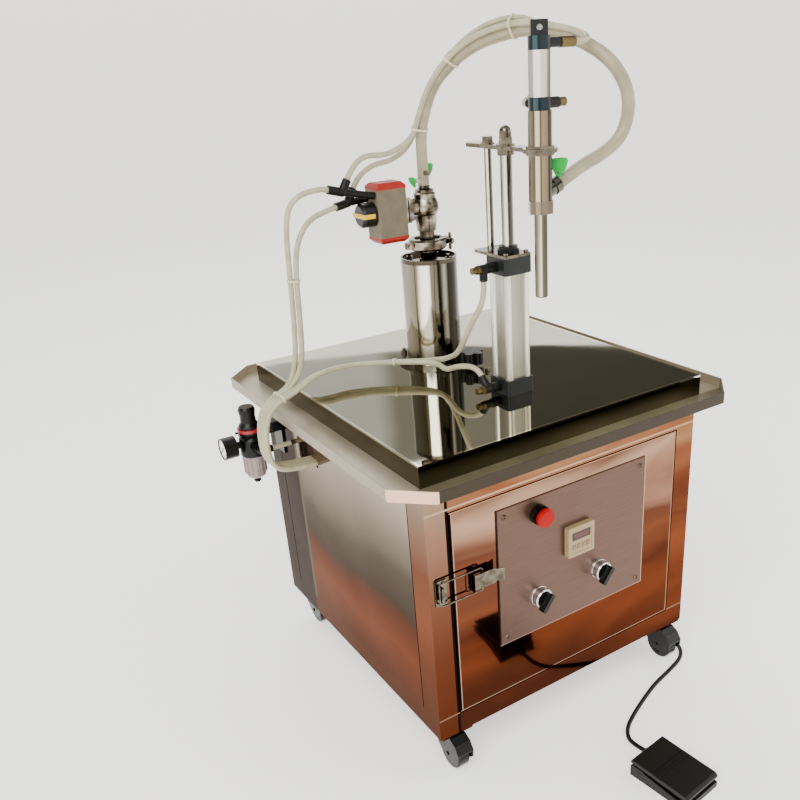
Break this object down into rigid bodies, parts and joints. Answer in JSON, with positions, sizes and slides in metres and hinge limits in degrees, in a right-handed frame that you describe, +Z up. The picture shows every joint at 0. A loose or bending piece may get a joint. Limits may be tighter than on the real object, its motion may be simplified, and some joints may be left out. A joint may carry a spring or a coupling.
{
  "type": "manual filling machine",
  "caption": "Semi-automatic liquid filling machine: polished steel cabinet on castors, piston cylinder with ball valve, lifting fill head, control door and foot switch.",
  "frame": {"origin": "on the floor, in the middle of the footprint box of the machine with its foot switch", "axes": "+Z up, -Y towards the operator and the door, +X to the operator's right"},
  "size_m": [0.63, 0.8116, 0.9938],
  "materials": {
    "steel": "mirror-polished stainless sheet",
    "bright_steel": "fine-turned stainless",
    "chrome": "bright chrome plating",
    "anodised": "natural anodised extrusion",
    "dark_metal": "dark grey satin coating",
    "warm_grey": "warm grey satin coating",
    "red_orange": "red-orange moulding",
    "black_plastic": "black moulding",
    "gloss_black": "shiny black moulding",
    "red_plastic": "bright red moulding",
    "green_plastic": "bright green moulding",
    "ivory": "ivory moulding",
    "brass": "plated brass",
    "clear": "clear bowl moulding",
    "white_dial": "white dial",
    "tube_plastic": "translucent milky tube",
    "hose_plastic": "translucent product hose",
    "pedal_black": "black satin coating",
    "cable_black": "black cable sheath",
    "tyre": "black wheel tread"
  },
  "bodies": {
    "machine": {"cabinet_frame": "steel", "side_panels": "steel", "gutter_tray": "steel", "worktop": "steel", "door_fittings": "bright_steel", "black_fittings": "black_plastic", "brass_fittings": "brass", "inner_air_parts": "anodised", "meter_cylinder": "bright_steel", "worktop_fixings": "bright_steel", "product_valve": "bright_steel", "actuator_body": "warm_grey", "actuator_covers": "red_orange", "clamp_wings": "green_plastic", "lift_caps": "dark_metal", "lift_barrel": "anodised", "air_tubes": "tube_plastic", "product_hose": "hose_plastic", "head_air_tubes": "tube_plastic", "frl_body": "black_plastic", "frl_bowl": "clear", "frl_ring": "red_plastic", "gauge_dial": "white_dial", "pedal_base": "pedal_black", "pedal_cable": "cable_black"},
    "door": {"door_panel": "steel", "control_plate": "bright_steel", "button_collar": "gloss_black", "selector_bezels": "chrome", "timer_case": "ivory"},
    "start_button": {"start_button": "red_plastic"},
    "selector_left": {"selector_left": "gloss_black"},
    "selector_right": {"selector_right": "gloss_black"},
    "timer_keys": {"timer_keys": "ivory"},
    "latch_lever": {"latch_lever": "bright_steel"},
    "latch_loop": {"latch_loop": "bright_steel"},
    "star_knob": {"star_knob": "gloss_black"},
    "regulator_knob": {"frl_knob": "black_plastic"},
    "gauge_needle": {"gauge_needle": "black_plastic"},
    "valve_rotor": {"valve_rotor": "bright_steel", "position_cap": "gloss_black"},
    "metering_piston": {"metering_piston": "bright_steel"},
    "lift_carriage": {"lift_rods": "chrome", "lift_bracket": "bright_steel", "head_tube": "bright_steel", "head_barrel": "anodised", "head_caps": "dark_metal", "head_fittings": "black_plastic", "head_brass": "brass", "head_wing": "green_plastic"},
    "head_plunger": {"head_plunger": "bright_steel"},
    "pedal_treadle": {"pedal_treadle": "pedal_black"},
    "caster_front_left": {"caster_fork_front_left": "gloss_black"},
    "wheel_front_left": {"caster_wheel_front_left": "tyre"},
    "caster_front_right": {"caster_fork_front_right": "gloss_black"},
    "wheel_front_right": {"caster_wheel_front_right": "tyre"},
    "caster_back_left": {"caster_fork_back_left": "gloss_black"},
    "wheel_back_left": {"caster_wheel_back_left": "tyre"},
    "caster_back_right": {"caster_fork_back_right": "gloss_black"},
    "wheel_back_right": {"caster_wheel_back_right": "tyre"}
  },
  "joints": [
    {"name": "door_hinge", "type": "hinge", "parent": "machine", "child": "door", "pos_m": [0.224, -0.14667, 0.26], "axis": [0, 0, 1], "range_deg": [0, 110]},
    {"name": "start_button_press", "type": "slide", "parent": "door", "child": "start_button", "axis": [0, 1, 0], "range_m": [0, 0.004], "stiffness_N_per_m": 600, "springref_m": -0.003},
    {"name": "selector_left_turn", "type": "hinge", "parent": "door", "child": "selector_left", "pos_m": [-0.037, -0.15868, 0.24], "axis": [0, 1, 0], "range_deg": [0, 90]},
    {"name": "selector_right_turn", "type": "hinge", "parent": "door", "child": "selector_right", "pos_m": [0.076, -0.15868, 0.241], "axis": [0, 1, 0], "range_deg": [0, 90]},
    {"name": "timer_keys_press", "type": "slide", "parent": "door", "child": "timer_keys", "axis": [0, 1, 0], "range_m": [0, 0.0008], "stiffness_N_per_m": 400, "springref_m": -0.001},
    {"name": "latch_lever_swing", "type": "hinge", "parent": "door", "child": "latch_lever", "pos_m": [-0.146, -0.15668, 0.309], "axis": [0, 0, -1], "range_deg": [0, 90]},
    {"name": "latch_loop_swing", "type": "hinge", "parent": "latch_lever", "child": "latch_loop", "pos_m": [-0.135, -0.15668, 0.309], "axis": [0, 0, -1], "range_deg": [-90, 0]},
    {"name": "star_knob_turn", "type": "hinge", "parent": "machine", "child": "star_knob", "pos_m": [0.039, 0.10533, 0.515], "axis": [0, 0, 1], "continuous": true},
    {"name": "regulator_knob_turn", "type": "hinge", "parent": "machine", "child": "regulator_knob", "pos_m": [-0.265, 0.31033, 0.43], "axis": [0, 0, 1], "continuous": true},
    {"name": "gauge_needle_turn", "type": "hinge", "parent": "machine", "child": "gauge_needle", "pos_m": [-0.305, 0.31033, 0.388], "axis": [1, 0, 0], "range_deg": [0, 270]},
    {"name": "valve_turn", "type": "hinge", "parent": "machine", "child": "valve_rotor", "pos_m": [0.019, 0.18332, 0.739], "axis": [-1, 0, 0], "range_deg": [0, 90]},
    {"name": "metering_stroke", "type": "slide", "parent": "machine", "child": "metering_piston", "axis": [0, 0, 1], "range_m": [-0.12, 0]},
    {"name": "lift_stroke", "type": "slide", "parent": "machine", "child": "lift_carriage", "axis": [0, 0, 1], "range_m": [-0.1, 0], "deforming": ["product_hose", "head_air_tubes"]},
    {"name": "plunger_stroke", "type": "slide", "parent": "lift_carriage", "child": "head_plunger", "axis": [0, 0, 1], "range_m": [0, 0.008]},
    {"name": "treadle_press", "type": "hinge", "parent": "machine", "child": "pedal_treadle", "pos_m": [0.03832, -0.32138, 0.0135], "axis": [0.9936, 0.1132, 0], "range_deg": [0, 5], "stiffness_Nm_per_rad": 2, "springref_deg": -17.19},
    {"name": "caster_swivel_front_left", "type": "hinge", "parent": "machine", "child": "caster_front_left", "pos_m": [-0.186, -0.12467, 0.06], "axis": [0, 0, 1], "continuous": true},
    {"name": "wheel_roll_front_left", "type": "hinge", "parent": "caster_front_left", "child": "wheel_front_left", "pos_m": [-0.186, -0.13967, 0.025], "axis": [1, 0, 0], "continuous": true},
    {"name": "caster_swivel_front_right", "type": "hinge", "parent": "machine", "child": "caster_front_right", "pos_m": [0.236, -0.12467, 0.06], "axis": [0, 0, 1], "continuous": true},
    {"name": "wheel_roll_front_right", "type": "hinge", "parent": "caster_front_right", "child": "wheel_front_right", "pos_m": [0.236, -0.13967, 0.025], "axis": [1, 0, 0], "continuous": true},
    {"name": "caster_swivel_back_left", "type": "hinge", "parent": "machine", "child": "caster_back_left", "pos_m": [-0.186, 0.33132, 0.06], "axis": [0, 0, 1], "continuous": true},
    {"name": "wheel_roll_back_left", "type": "hinge", "parent": "caster_back_left", "child": "wheel_back_left", "pos_m": [-0.186, 0.31633, 0.025], "axis": [1, 0, 0], "continuous": true},
    {"name": "caster_swivel_back_right", "type": "hinge", "parent": "machine", "child": "caster_back_right", "pos_m": [0.236, 0.33132, 0.06], "axis": [0, 0, 1], "continuous": true},
    {"name": "wheel_roll_back_right", "type": "hinge", "parent": "caster_back_right", "child": "wheel_back_right", "pos_m": [0.236, 0.31633, 0.025], "axis": [1, 0, 0], "continuous": true}
  ],
  "couplings": [
    {"joint": "latch_loop_swing", "follows": "latch_lever_swing", "ratio": -1}
  ]
}
